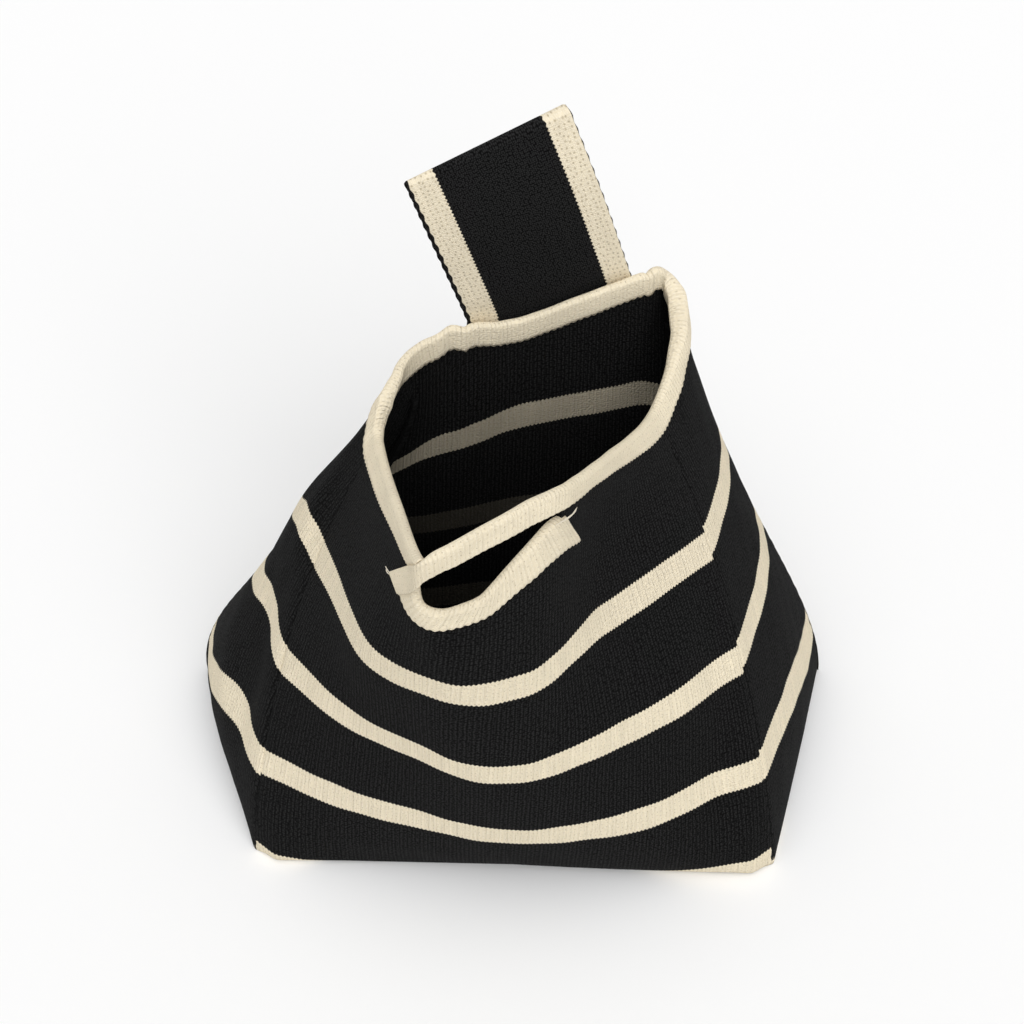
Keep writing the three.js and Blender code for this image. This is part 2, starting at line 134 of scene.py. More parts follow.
# Finger slot, as station and depth below the rim: its bound edge, and the tape's hem below it
SLOT_EDGE = [
    (-1.13, 9), (-1.125, 14), (-1.1, 19.5), (-1.03, 25), (-0.9, 29.5), (-0.73, 32.2), (-0.57, 32.6),
    (-0.42, 32.4), (-0.31, 29.6), (-0.2, 26), (-0.05, 21), (0.13, 16.5), (0.34, 13), (0.5, 12.4),
]
SLOT_HEM = [
    (-1.34, 21.7), (-1.29, 25), (-1.24, 28.6), (-1.13, 33.6), (-0.99, 36.6), (-0.82, 38.8), (-0.66, 39.6),
    (-0.5, 40.2), (-0.36, 40), (-0.19, 37.4), (0.02, 33.2), (0.27, 29.6), (0.55, 28.6), (0.78, 30.5),
]
SLOT_TAPE_END = (0.42, 12.6)  # the cloth is cut no further than this

# Grip bar: where it leaves the rim tape, its middle, and where it starts to cross the left rim tape
GRIP_RIGHT, GRIP_MIDDLE, GRIP_LEFT = 0.62, -0.15, -0.72
# Over the left rim tape to the raw corner: station, depth and out, of the bar's top edge and of its low edge
GRIP_END = [
    ((-0.86, -4.0, 1.2), (-0.86, 8.6, 1.0)),
    ((-1.0, -2.5, 2.9), (-0.97, 13.0, 2.5)),
    ((-1.13, 2.5, 3.1), (-1.07, 19.0, 2.7)),
    ((-1.245, 12.0, 3.1), (-1.15, 24.0, 2.7)),
    ((-1.344, 22.3, 3.0), (-1.223, 28.6, 2.7)),
]
GRIP_END_HALF = 0.45  # half the thickness of the raw end
# Two stations on each half of the bar, whose points on the bar are found and not used
GRIP_SEWN = {"right": (GRIP_RIGHT - 0.06, 0.34), "left": (-0.94, -0.66)}

# Woven pattern
STRIPE_FIRST, STRIPE_PITCH, STRIPE_LAST = 6, 56, 3  # middle of the lowest stripe, spacing, and count above it
STRIPE_HALF = 6.65
# Spacing of the thread crowns; the real ones are a little closer together, and are drawn this coarse to show
CANVAS_THREAD, WEBBING_THREAD, TAPE_THREAD = 1.2, 0.9, 1.1
RIB = 1.9  # width of the broader ribs
SCALLOP = 0.32  # how far the stripe edges step in and out from rib to rib
COLOUR_EDGE = 0.15  # half the width of the passage between two woven colours
PLY = 0.5  # length of one twist of the sewing thread
# Cloth turned under at the foot, and the height up to which it draws the pattern down
FOOT_TUCK, FOOT_TUCK_HEIGHT = 13, 68
# Where the slumped cloth draws the stripes down, or up where it is negative: station, height, half width,
# half height, and how far
STRIPE_PULLS = [
    (9.0, 174, 0.35, 15, 8),
    (9.4, 112, 0.42, 62, -8),
    (8.0, 35, 1.0, 55, 20),
    (4.0, 35, 1.0, 55, 20),
]
INSIDE_PAINTED_SHADE = (130, 0.06), (168, 0.5)  # painted shade inside the bag: height, and share of a stripe that is left on the reverse there, the rest painted black

# Wrist strap
STRAP_MIDDLE = 6  # station
STRAP_HEIGHT = 76  # a little more than its solid's
STRAP_ROLL, STRAP_ROLL_START, STRAP_SLIDE = 15, -7, 0.5  # degrees left, from what height, and shift right
# Height, and half the loop's gap there
STRAP_OPENING = [(4, 1.3), (14, 1.8), (28, 2.8), (42, 3.2), (56, 2.7), (66, 2.0)]
STRAP_TOP_RADIUS = 1.7
STRAP_SIDE_OPENING, STRAP_SIDE_START = 0.35, 25  # change of the gap to the ends, and height where it is full
STRAP_SELVAGE_LEFT, STRAP_SELVAGE_RIGHT = 1.7, 0.7
STRAP_BAND = 11.8
SELVAGE_LOOP, SELVAGE_SWING, SELVAGE_STEP = 6.0, 0.25, 0.3  # edge loops: spacing, swing in shape and in colour
SELVAGE_EASE, SELVAGE_THIN = 0.4, 0.55  # room for the loops, and the edges' share of the thickness
FOLD_ABOVE_ENDS = 6.65  # fold line above the top of the sewn ends

# Mesh spacing
LINE_STEPS = 800
COLUMNS, ROWS = 24, 96  # columns to each station, and rows up each wall
STATION_STEP, SHARE_STEP = 0.02, 0.01


def mix(a, b, f):
    return a + (b - a) * f


def ease(f):
    f = np.clip(f, 0, 1)
    return f * f * (3 - 2 * f)


def unit(vectors):
    return vectors / np.linalg.norm(vectors, axis=-1, keepdims=True)


def runs(points):
    """Length along a line of points, from its start to each point."""
    steps = np.linalg.norm(np.diff(points, axis=0), axis=-1)
    return np.concatenate([np.zeros((1, *steps.shape[1:])), np.cumsum(steps, axis=0)])


def along_line(points, at):
    """Points at given lengths along a line of points."""
    run = runs(points)
    return np.stack([np.interp(at, run, column) for column in points.T], -1)


def evenly(points, count):
    """The same line through points at even spacing."""
    return along_line(points, np.linspace(0, runs(points)[-1], count))


def through(points, t):
    """Smooth curve through points; t counts the points."""
    points = np.asarray(points, float)
    padded = np.vstack([2 * points[0] - points[1], points, 2 * points[-1] - points[-2]])
    k = np.clip(np.floor(t).astype(int), 0, len(points) - 2)
    f = (t - k)[:, None]
    a, b, c, d = (padded[k + j] for j in range(4))
    return b + f * (c - a) / 2 + f**2 * (a - 2.5 * b + 2 * c - d / 2) + f**3 * (1.5 * (b - c) + (d - a) / 2)


# The bag's surface: rings of cloth through the stations, as in the part's source


def base_points():
    """Where each station starts on the outline of the base."""
    corners = np.array([
        (-BASE_FRONT / 2, -BASE_DEPTH / 2 + BASE_SKEW),
        (BASE_FRONT / 2, -BASE_DEPTH / 2 - BASE_SKEW),
        (BASE_BACK / 2, BASE_DEPTH / 2),
        (-BASE_BACK / 2, BASE_DEPTH / 2),
    ])
    points = np.zeros((COUNT, 3))
    for a, b, first, last in zip(corners, np.roll(corners, -1, axis=0), (FRONT_START, *SEAMS), SEAMS):
        for i in range(first, last):
            points[i % COUNT] = (*mix(a, b, (i - first) / (last - first)), WALL_LIFT)
    return points


def station_line(base, heading, rim, base_lean, rim_lean):
    """One station as even points from base to rim, and its length."""
    heading, base_lean, rim_lean = np.radians([heading, base_lean, rim_lean])
    outward = np.array([math.cos(heading), math.sin(heading), 0])
    rim = np.array(rim, float)
    reach = np.linalg.norm(rim - base) / 3
    first = base + reach * (outward * math.sin(base_lean) + UP * math.cos(base_lean))
    second = rim + reach * (outward * math.sin(rim_lean) - UP * math.cos(rim_lean))
    t = np.linspace(0, 1, 2 * LINE_STEPS + 1)[:, None]
    curve = (1 - t) ** 3 * base + 3 * (1 - t) ** 2 * t * first + 3 * (1 - t) * t**2 * second + t**3 * rim
    return evenly(curve, LINE_STEPS + 1), runs(curve)[-1]


BASE_POINTS = base_points()
LINES, LENGTHS = map(np.array, zip(*(station_line(b, *st) for b, st in zip(BASE_POINTS, STATIONS))))


def ring_point(i, v):
    """Point of a station at a share of its height."""
    at = np.clip(v, 0, 1) * LINE_STEPS
    k = np.minimum(at.astype(int), LINE_STEPS - 1)
    f = (at - k)[..., None]
    return LINES[i % COUNT, k] * (1 - f) + LINES[i % COUNT, k + 1] * f


def ring_tangent(i, v, side):
    """Direction of a ring where it leaves (side 1) or reaches (side -1) a station; creased at lower seams."""
    smooth = (ring_point(i + 1, v) - ring_point(i - 1, v)) / 2
    creased = 4 * ring_point(i + side, v) - 3 * ring_point(i, v) - ring_point(i + 2 * side, v)
    softness = np.clip((v - CREASE_TOP) / (1 - CREASE_TOP), 0, 1)[..., None] ** 1.5
    at_seam = np.isin(i % COUNT, SEAMS)[..., None]
    at_tip = (i % COUNT == TIP)[..., None]
    point = mix(1, TIP_ROUNDNESS, ease((v - TIP_START) / (1 - TIP_START)))[..., None]
    tangent = np.where(at_seam, mix(creased * side / 2, smooth, softness), smooth)
    return np.where(at_tip, smooth * point, tangent)


def cloth_height(s):
    """Length of the cloth from the base to the rim."""
    i = np.floor(s).astype(int)
    return mix(LENGTHS[i % COUNT], LENGTHS[(i + 1) % COUNT], ease(s - i))


def from_station(s, station):
    """Stations from one place to another, the shorter way round."""
    return (s - station + COUNT / 2) % COUNT - COUNT / 2


def hills(s, height, places):
    """Sum of soft hills, each with its station, height, half width in stations, half height and rise."""
    total = 0
    for station, middle, half_width, half_height, rise in places:
        place = (from_station(s, station) / half_width) ** 2 + ((height - middle) / half_height) ** 2
        total = total + rise * np.exp(-place)
    return total


def relief(s, v):
    """Folds and soft unevenness of the cloth, which die out at the seams and the base, in millimetres out."""
    height = v * cloth_height(s)
    from_seam = np.min([np.abs(from_station(s, seam)) for seam in SEAMS], axis=0)
    broad = UNEVEN_BROAD * np.sin(TURN * (1.3 * s + height / 95)) * np.sin(TURN * (height / 120 + 0.37 * s))
    narrow = UNEVEN_NARROW * np.sin(TURN * (2.9 * s - height / 60))
    out = broad + narrow + hills(s, height, FOLDS)
    return out * ease(from_seam / FOLD_FROM_SEAM) * ease(height / FOLD_FROM_BASE)


def foot_sag(s, v):
    """How far the front's foot bellies out over the floor."""
    s = from_station(s, 0)
    reach = np.exp(-((v * cloth_height(s) / FOOT_SAG_HEIGHT) ** 2))
    return (FOOT_SAG + FOOT_SAG_GROWTH * np.abs(s)) * ease((FRONT_RIGHT - np.abs(s)) / FOOT_SAG_END) * reach


def surface(s, v):
    """Point on the outer face of the cloth at station value s and height share v."""
    s, v = np.broadcast_arrays(np.asarray(s, float), np.asarray(v, float))
    i = np.floor(s).astype(int)
    f = (s - i)[..., None]
    f2, f3 = f**2, f**3
    start, end = ring_point(i, v), ring_point(i + 1, v)
    longest = RIM_SWING * np.linalg.norm(end - start, axis=-1)

    def held(tangent):
        share = np.minimum(longest / np.linalg.norm(tangent, axis=-1), 1)
        return tangent * mix(1, share, ease((v - RIM_SWING_START) / RIM_SWING_OVER))[..., None]

    point = start * (2 * f3 - 3 * f2 + 1) + held(ring_tangent(i, v, 1)) * (f3 - 2 * f2 + f)
    point = point + end * (3 * f2 - 2 * f3) + held(ring_tangent(i + 1, v, -1)) * (f3 - f2)
    point[..., 1] -= foot_sag(s, v)
    return point


def normal(s, v, first=-math.inf, last=math.inf):
    """Outward direction of the cloth, measured inside the panel that runs from first to last."""
    s, v = np.broadcast_arrays(np.asarray(s, float), np.asarray(v, float))
    along = surface(np.minimum(s + STATION_STEP, last), v) - surface(np.maximum(s - STATION_STEP, first), v)
    rise = surface(s, np.minimum(v + SHARE_STEP, 1)) - surface(s, np.maximum(v - SHARE_STEP, 0))
    return unit(np.cross(along, rise))


def cloth_at(s, depth, out):
    """Point at a depth below the rim, or above it where negative, and out from the middle of the cloth."""
    s, depth, out = np.broadcast_arrays(*(np.asarray(x, float) for x in (s, depth, out)))
    v = 1 - np.maximum(depth, 0) / cloth_height(s)
    edge_up = unit(surface(s, 1) - surface(s, 1 - RIM_TAPE_DROP / cloth_height(s)))
    point = surface(s, v) + normal(s, v) * (out - CLOTH / 2 + relief(s, v))[..., None]
    return point + edge_up * np.maximum(-depth, 0)[..., None]


# Meshes


def make_piece(name, points, faces, material, cloth):
    """Piece from points in millimetres; cloth is each point's place, and perhaps side, on the flat fabric."""
    mesh = bpy.data.meshes.new(name)
    mesh.from_pydata((points.reshape(-1, 3) * MM).tolist(), [], faces)
    edit = bmesh.new()
    edit.from_mesh(mesh)
    bmesh.ops.recalc_face_normals(edit, faces=edit.faces)
    for face in edit.faces:
        face.smooth = len(face.verts) == 4  # the flat ends of tubes keep their own shading
    edit.to_mesh(mesh)
    edit.free()
    flat = np.zeros((len(mesh.vertices), 3))
    flat[:, :cloth.shape[-1]] = cloth.reshape(-1, cloth.shape[-1])
    mesh.attributes.new("cloth", "FLOAT_VECTOR", "POINT").data.foreach_set("vector", flat.ravel())
    mesh.materials.append(material)
    piece = bpy.data.objects.new(name, mesh)
    bpy.context.collection.objects.link(piece)
    return piece


def thick_sheet(name, outer, inner, cloth, material):
    """Closed sheet between two grids of points; its inner side is marked 1 and its outer side 0."""
    index = np.arange(outer.shape[0] * outer.shape[1]).reshape(outer.shape[:2])
    cloth = np.stack([np.dstack([cloth, np.full(outer.shape[:2], side)]) for side in (0.0, 1.0)])
    quads = np.stack([index[:-1, :-1], index[1:, :-1], index[1:, 1:], index[:-1, 1:]], -1).reshape(-1, 4)
    ring = np.concatenate([index[:-1, 0], index[-1, :-1], index[:0:-1, -1], index[0, :0:-1]])
    after = np.roll(ring, -1)
    sides = np.stack([ring, ring + index.size, after + index.size, after], -1)
    faces = np.concatenate([quads, quads[:, ::-1] + index.size, sides]).tolist()
    return make_piece(name, np.stack([outer, inner]), faces, material, cloth)


def tape_sheet(name, middle, thickness, cloth, material):
    """Closed sheet of even thickness about a grid of points."""
    lengthways, crossways = np.gradient(middle, axis=0), np.gradient(middle, axis=1)
    half = unit(np.cross(lengthways, crossways)) * thickness / 2
    return thick_sheet(name, middle + half, middle - half, cloth, material)


def tube_faces(sections, sides, closed, start=0):
    """Faces of a tube through sections of points, with flat ends unless it is closed."""
    index = start + np.arange(sections * sides).reshape(sections, sides)
    ahead = np.roll(index, -1, axis=0) if closed else index[1:]
    here = index if closed else index[:-1]
    quads = np.stack([here, ahead, np.roll(ahead, -1, axis=1), np.roll(here, -1, axis=1)], -1).reshape(-1, 4)
    ends = [] if closed else [index[0].tolist(), index[-1, ::-1].tolist()]
    return quads.tolist() + ends


def band(name, centres, thin, half_width, half_thick, material, closed=False, sides=28):
    """Flat band with rounded edges along a line; thin is the direction across its thickness at each point."""
    if closed:
        tangent = np.roll(centres, -1, axis=0) - np.roll(centres, 1, axis=0)
    else:
        tangent = np.gradient(centres, axis=0)
    wide = unit(np.cross(thin, unit(tangent)))
    angle = np.linspace(0, TURN, sides, endpoint=False)
    squareness = 0.55  # 1 is an ellipse, and less is closer to a rectangle
    x = np.sign(np.cos(angle)) * np.abs(np.cos(angle)) ** squareness
    y = np.sign(np.sin(angle)) * np.abs(np.sin(angle)) ** squareness
    half_width = np.broadcast_to(half_width, len(centres))[:, None]
    offset = wide[:, None] * (x * half_width)[..., None] + thin[:, None] * (y * half_thick)[:, None]
    points = centres[:, None] + offset
    cloth = np.stack([np.broadcast_to(runs(centres)[:, None], points.shape[:2]), (x + 1) * half_width], -1)
    return make_piece(name, points, tube_faces(len(centres), sides, closed), material, cloth)


def threads(name, lines, radius, material, sides=6):
    """Round threads along several lines of points, tapered to their ends, as one mesh."""
    points, faces, cloth, start = [], [], [], 0
    angle = np.linspace(0, TURN, sides, endpoint=False)
    for line in lines:
        tangent = unit(np.gradient(line, axis=0))
        across = unit(np.cross(tangent, np.where(np.abs(tangent[:, 2:]) > 0.9, (1.0, 0, 0), UP)))
        other = np.cross(tangent, across)
        share = np.linspace(0, 1, len(line))
        girth = radius * np.clip(6 * np.minimum(share, 1 - share), 0.35, 1)
        ring = across[:, None] * np.cos(angle)[:, None] + other[:, None] * np.sin(angle)[:, None]
        points.append((line[:, None] + ring * girth[:, None, None]).reshape(-1, 3))
        length = np.repeat(runs(line), sides)
        cloth.append(np.stack([length, np.zeros_like(length)], -1))
        faces += tube_faces(len(line), sides, False, start)
        start += len(line) * sides
    return make_piece(name, np.concatenate(points), faces, material, np.concatenate(cloth))


# Materials


def linear(code):
    """Linear colour from an sRGB hex value."""
    channels = [int(code[k:k + 2], 16) / 255 for k in (1, 3, 5)]
    return (*[c / 12.92 if c <= 0.04045 else ((c + 0.055) / 1.055) ** 2.4 for c in channels], 1)


def add(tree, kind, inputs=(), **settings):
    """Adds a node with its settings; each input is a value or the socket that it is linked from."""
    node = tree.nodes.new(kind)
    for key, value in settings.items():
        setattr(node, key, value)
    for key, value in inputs.items() if isinstance(inputs, dict) else enumerate(inputs):
        if isinstance(value, bpy.types.NodeSocket):
            tree.links.new(value, node.inputs[key])
        else:
            node.inputs[key].default_value = value
    return node


def new_material(name):
    """Material with only its output node."""
    material = bpy.data.materials.new(name)
    material.use_nodes = True
    tree = material.node_tree
    tree.nodes.clear()
    return material, tree, add(tree, "ShaderNodeOutputMaterial")


def cotton(tree, output, colour, height, thread_relief, roughness):
    """Cotton surface: dull, with a trace of sheen from loose fibres, and threads raised by some millimetres."""
    bump = add(tree, "ShaderNodeBump", {"Distance": thread_relief * MM, "Height": height})
    shader = add(tree, "ShaderNodeBsdfPrincipled", {
        "Base Color": colour,
        "Roughness": roughness,
        "Specular IOR Level": 0.05,
        "Sheen Weight": 0.008,
        "Sheen Roughness": 0.5,
        "Normal": bump.outputs["Normal"],
    })
    tree.links.new(shader.outputs["BSDF"], output.inputs["Surface"])


def flat_place(tree):
    """Place on the flat fabric in millimetres, its two parts, and a value that is 1 on the reverse side."""
    place = add(tree, "ShaderNodeAttribute", attribute_name="cloth").outputs["Vector"]
    split = add(tree, "ShaderNodeSeparateXYZ", [place])
    return place, *split.outputs


def weave(tree, place, spacing):
    """Plain weave as loose rows of thread crowns, from 0 in the gaps to 1 on top."""
    field = {"Vector": place, "Scale": 1 / spacing, "Randomness": 0.6}
    cells = add(tree, "ShaderNodeTexVoronoi", field, voronoi_dimensions="2D").outputs["Distance"]
    return add(tree, "ShaderNodeMapRange", {"Value": cells, "From Min": 0.6, "From Max": 0.05}).outputs[0]


def pinholes(tree, place, spacing, size):
    """Small gaps where four yarns meet, in loose rows; size is their radius as a share of the spacing."""
    field = {"Vector": place, "Scale": 1 / spacing, "Randomness": 0.5}
    cells = add(tree, "ShaderNodeTexVoronoi", field, voronoi_dimensions="2D").outputs["Distance"]
    edge = {"Value": cells, "From Min": 1.7 * size, "From Max": 0.6 * size}
    return add(tree, "ShaderNodeMapRange", edge).outputs[0]


def scallops(tree, along, spacing, amount):
    """Steps of a woven colour's edge, as from rib to rib."""
    angle = add(tree, "ShaderNodeMath", [along, TURN / spacing], operation="MULTIPLY").outputs[0]
    wave = add(tree, "ShaderNodeMath", [angle], operation="COSINE").outputs[0]
    return add(tree, "ShaderNodeMath", [wave, amount], operation="MULTIPLY").outputs[0]


def cream_yarn(tree, crown, holes, amount):
    """Unbleached cotton yarn, with painted shade: a little darker between the threads and brown in the
    pinholes.
    """
    shades = {0: crown, 6: linear("#f3e6ca"), 7: linear("#fdf2db")}
    yarn = add(tree, "ShaderNodeMix", shades, data_type="RGBA").outputs[2]
    dark = add(tree, "ShaderNodeMath", [holes, amount], operation="MULTIPLY").outputs[0]
    return add(tree, "ShaderNodeMix", {0: dark, 6: yarn, 7: linear("#8f7a54")}, data_type="RGBA").outputs[2]


def aged(tree, place, colour, stretch):
    """Slow changes of tone along the yarns."""
    streaks = add(tree, "ShaderNodeMapping", {"Vector": place, "Scale": stretch}).outputs[0]
    noise = add(tree, "ShaderNodeTexNoise", {"Vector": streaks, "Scale": 1.0, "Detail": 3.0}).outputs[0]
    level = add(tree, "ShaderNodeMapRange", {"Value": noise, "To Min": 0.86, "To Max": 1.12}).outputs[0]
    return add(tree, "ShaderNodeHueSaturation", {"Value": level, "Color": colour}).outputs[0]


def two_yarns(tree, place, crown, holes, cream_mask):
    """Black and cream yarn woven together."""
    # Painted light on the black yarn: lighter on the thread crowns, darker in the shade between them
    shades = {0: crown, 6: linear("#080808"), 7: linear("#303030")}
    black = add(tree, "ShaderNodeMix", shades, data_type="RGBA").outputs[2]
    cream = cream_yarn(tree, crown, holes, amount=0.5)
    woven = add(tree, "ShaderNodeMix", {0: cream_mask, 6: black, 7: cream}, data_type="RGBA").outputs[2]
    return aged(tree, place, woven, stretch=(0.35, 0.03, 1))


def ribs(tree, across):
    """Rounded ribs side by side, from 0 between them to 1 on top."""
    angle = add(tree, "ShaderNodeMath", [across, math.pi / RIB], operation="MULTIPLY").outputs[0]
    wave = add(tree, "ShaderNodeMath", [angle], operation="SINE").outputs[0]
    return add(tree, "ShaderNodeMath", [wave], operation="ABSOLUTE").outputs[0]


def ribbed_height(tree, place, across, crown, rib_share):
    """Threads on the broader ribs, with loose fibres; rib_share is the ribs' height beside the threads'."""
    raised = [ribs(tree, across), rib_share, crown]
    ribbed = add(tree, "ShaderNodeMath", raised, operation="MULTIPLY_ADD").outputs[0]
    fibres = add(tree, "ShaderNodeTexNoise", {"Vector": place, "Scale": 1.6, "Detail": 2.0}).outputs[0]
    return add(tree, "ShaderNodeMath", [fibres, 0.5, ribbed], operation="MULTIPLY_ADD").outputs[0]


def striped_canvas():
    """Cotton canvas, woven in black with cream weft stripes: dull ribs with painted light on their tops,
    stepped edges, and painted shade on the reverse, where the stripes fade to black lower down inside the bag.
    """
    material, tree, output = new_material("striped_cotton_canvas")
    place, across, up, reverse = flat_place(tree)
    crown = weave(tree, place, CANVAS_THREAD)
    highest = STRIPE_FIRST + STRIPE_LAST * STRIPE_PITCH
    count = {"Value": up, "From Min": STRIPE_FIRST, "From Max": highest, "To Max": STRIPE_LAST}
    steps = add(tree, "ShaderNodeMapRange", count).outputs[0]
    nearest = add(tree, "ShaderNodeMath", [steps], operation="ROUND").outputs[0]
    place_of_stripe = [nearest, STRIPE_PITCH, STRIPE_FIRST]
    middle = add(tree, "ShaderNodeMath", place_of_stripe, operation="MULTIPLY_ADD").outputs[0]
    offset = add(tree, "ShaderNodeMath", [up, middle], operation="SUBTRACT").outputs[0]
    edge_steps = scallops(tree, across, RIB, SCALLOP)
    stepped = add(tree, "ShaderNodeMath", [offset, edge_steps], operation="ADD").outputs[0]
    distance = add(tree, "ShaderNodeMath", [stepped], operation="ABSOLUTE").outputs[0]
    edge = {"Value": distance, "From Min": STRIPE_HALF + COLOUR_EDGE, "From Max": STRIPE_HALF - COLOUR_EDGE}
    stripe = add(tree, "ShaderNodeMapRange", edge).outputs[0]
    # Painted shade inside the bag: on the reverse the stripes are faded to black, most of all below 130 mm
    (low, dim), (high, clear) = INSIDE_PAINTED_SHADE
    cover = {"Value": up, "From Min": low, "From Max": high, "To Min": dim - 1, "To Max": clear - 1}
    painted_inside_shade = add(tree, "ShaderNodeMapRange", cover).outputs[0]
    shown = add(tree, "ShaderNodeMath", [painted_inside_shade, reverse, 1.0], operation="MULTIPLY_ADD").outputs[0]
    mask = add(tree, "ShaderNodeMath", [stripe, shown], operation="MULTIPLY").outputs[0]
    # Painted light: rib tops and thread crowns lighter as sheen lines, the grooves between them darker as shade
    painted_light = add(tree, "ShaderNodeMath", [crown, ribs(tree, across)], operation="MULTIPLY").outputs[0]
    colour = two_yarns(tree, place, painted_light, pinholes(tree, place, spacing=2.4, size=0.08), mask)
    height = ribbed_height(tree, place, across, crown, rib_share=0.65)
    cotton(tree, output, colour, height, thread_relief=0.4, roughness=0.9)
    return material


def strap_webbing():
    """Cotton webbing: the same yarns in a black middle, two cream bands and black selvages, with pinholes."""
    material, tree, output = new_material("banded_cotton_webbing")
    place, across, along, _ = flat_place(tree)
    crown = weave(tree, place, WEBBING_THREAD)
    fine, slow = scallops(tree, along, RIB, SCALLOP), scallops(tree, along, SELVAGE_LOOP, SELVAGE_STEP)
    stepped = add(tree, "ShaderNodeMath", [across, fine], operation="ADD").outputs[0]
    looped = add(tree, "ShaderNodeMath", [across, slow], operation="ADD").outputs[0]
    right = STRAP_WIDTH - STRAP_SELVAGE_RIGHT
    bands = []
    for start, side, border in ((STRAP_SELVAGE_LEFT, 1, looped), (right, -1, across)):
        inside = []
        for value, at, way in ((border, start, side), (stepped, start + side * STRAP_BAND, -side)):
            edge = {"Value": value, "From Min": at - way * COLOUR_EDGE, "From Max": at + way * COLOUR_EDGE}
            inside.append(add(tree, "ShaderNodeMapRange", edge).outputs[0])
        bands.append(add(tree, "ShaderNodeMath", inside, operation="MULTIPLY").outputs[0])
    mask = add(tree, "ShaderNodeMath", bands, operation="MAXIMUM").outputs[0]
    colour = two_yarns(tree, place, crown, pinholes(tree, place, spacing=2.4, size=0.16), mask)
    height = ribbed_height(tree, place, along, crown, rib_share=0.1)
    cotton(tree, output, colour, height, thread_relief=0.2, roughness=0.9)
    return material


def cream_tape():
    """Cream cotton binding tape: ribs across its length and loose rows of pinholes."""
    material, tree, output = new_material("cream_cotton_tape")
    place, along, *_ = flat_place(tree)
    crown = weave(tree, place, TAPE_THREAD)
    # Painted light: rib tops and thread crowns lighter, the grooves between them darker
    painted_light = add(tree, "ShaderNodeMath", [crown, ribs(tree, along)], operation="MULTIPLY").outputs[0]
    yarn = cream_yarn(tree, painted_light, pinholes(tree, place, spacing=3.6, size=0.07), amount=0.4)
    colour = aged(tree, place, yarn, stretch=(0.05, 0.1, 1))
    height = ribbed_height(tree, place, along, crown, rib_share=1.0)
    cotton(tree, output, colour, height, thread_relief=0.25, roughness=0.92)
    return material


def seam_tape():
    """Black cotton tape inside the seams: a fine dull weave."""
    material, tree, output = new_material("black_cotton_tape")
    place, along, *_ = flat_place(tree)
    crown = weave(tree, place, TAPE_THREAD)
    # Painted light: lighter on the thread crowns, darker in the shade between them
    shades = {0: crown, 6: linear("#0c0c0c"), 7: linear("#1f1f1f")}
    colour = add(tree, "ShaderNodeMix", shades, data_type="RGBA").outputs[2]
    height = ribbed_height(tree, place, along, crown, rib_share=0.35)
    cotton(tree, output, colour, height, thread_relief=0.2, roughness=0.92)
    return material


def sewing_thread(name, shade, crown_shade):
    """Spun cotton thread: fine twisted plies that catch the light in short bands."""
    material, tree, output = new_material(name)
    along = flat_place(tree)[1]
    angle = add(tree, "ShaderNodeMath", [along, TURN / PLY], operation="MULTIPLY").outputs[0]
    wave = add(tree, "ShaderNodeMath", [angle], operation="SINE").outputs[0]
    ply = add(tree, "ShaderNodeMapRange", {"Value": wave, "From Min": -1.0, "From Max": 1.0}).outputs[0]
    shades = {0: ply, 6: linear(shade), 7: linear(crown_shade)}
    colour = add(tree, "ShaderNodeMix", shades, data_type="RGBA").outputs[2]
    cotton(tree, output, colour, ply, thread_relief=0.08, roughness=0.85)
    return material


CANVAS = striped_canvas()
WEBBING = strap_webbing()
CREAM_TAPE = cream_tape()
SEAM_TAPE = seam_tape()
CREAM_THREAD = sewing_thread("cream_cotton_thread", "#e6dac2", "#fbf4e6")
BLACK_THREAD = sewing_thread("black_cotton_thread", "#101010", "#242424")


def finish_piece(piece, slot, *nodes, body="bag"):
    """Gives a piece its body and hides the solids that it stands for; slot is not used."""
    if body:
        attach(piece, body)
    if nodes:
        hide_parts(*nodes)


def declare_cloth(grid):
    """Measures the width and length that a grid of points has when it is laid flat, and does nothing with them.
    """
    width, length = runs(grid).max(), runs(grid.swapaxes(0, 1)).max()


# Walls and base


def slot_depth(s):
    """How far the cloth is cut away below the rim."""
    stations, depths = zip(*[place for place in SLOT_EDGE if place[0] < SLOT_TAPE_END[0]], SLOT_TAPE_END)
    return np.interp(s, stations, depths, left=0, right=0)


def wall_columns(first, last):
    """Stations of a wall's columns, closer together beside its seams."""
    even = np.linspace(first, last, round((last - first) * COLUMNS) + 1)
    near = np.array([0.006, 0.014, 0.024, 0.036])
    return np.unique(np.concatenate([even, first + near, last - near]).round(6))


def ring_widths(s, v):
    """Distance along the rings from the middle column, so that the ribs stand straight in the middle."""
    shares = np.linspace(0, 1, 41)
    run = runs(surface(s[:, None], shares))
    run -= run[len(s) // 2]
    return np.stack([np.interp(v[k], shares, run[k]) for k in range(len(s))])


def front_tuck(s):
    """Share of the cloth turned under on the front: all in the middle, half at the left, none at the right."""
    return mix(0.48, 1, ease((s - FRONT_START) / 0.65)) * (1 - ease((s - 0.8) / 1.1))


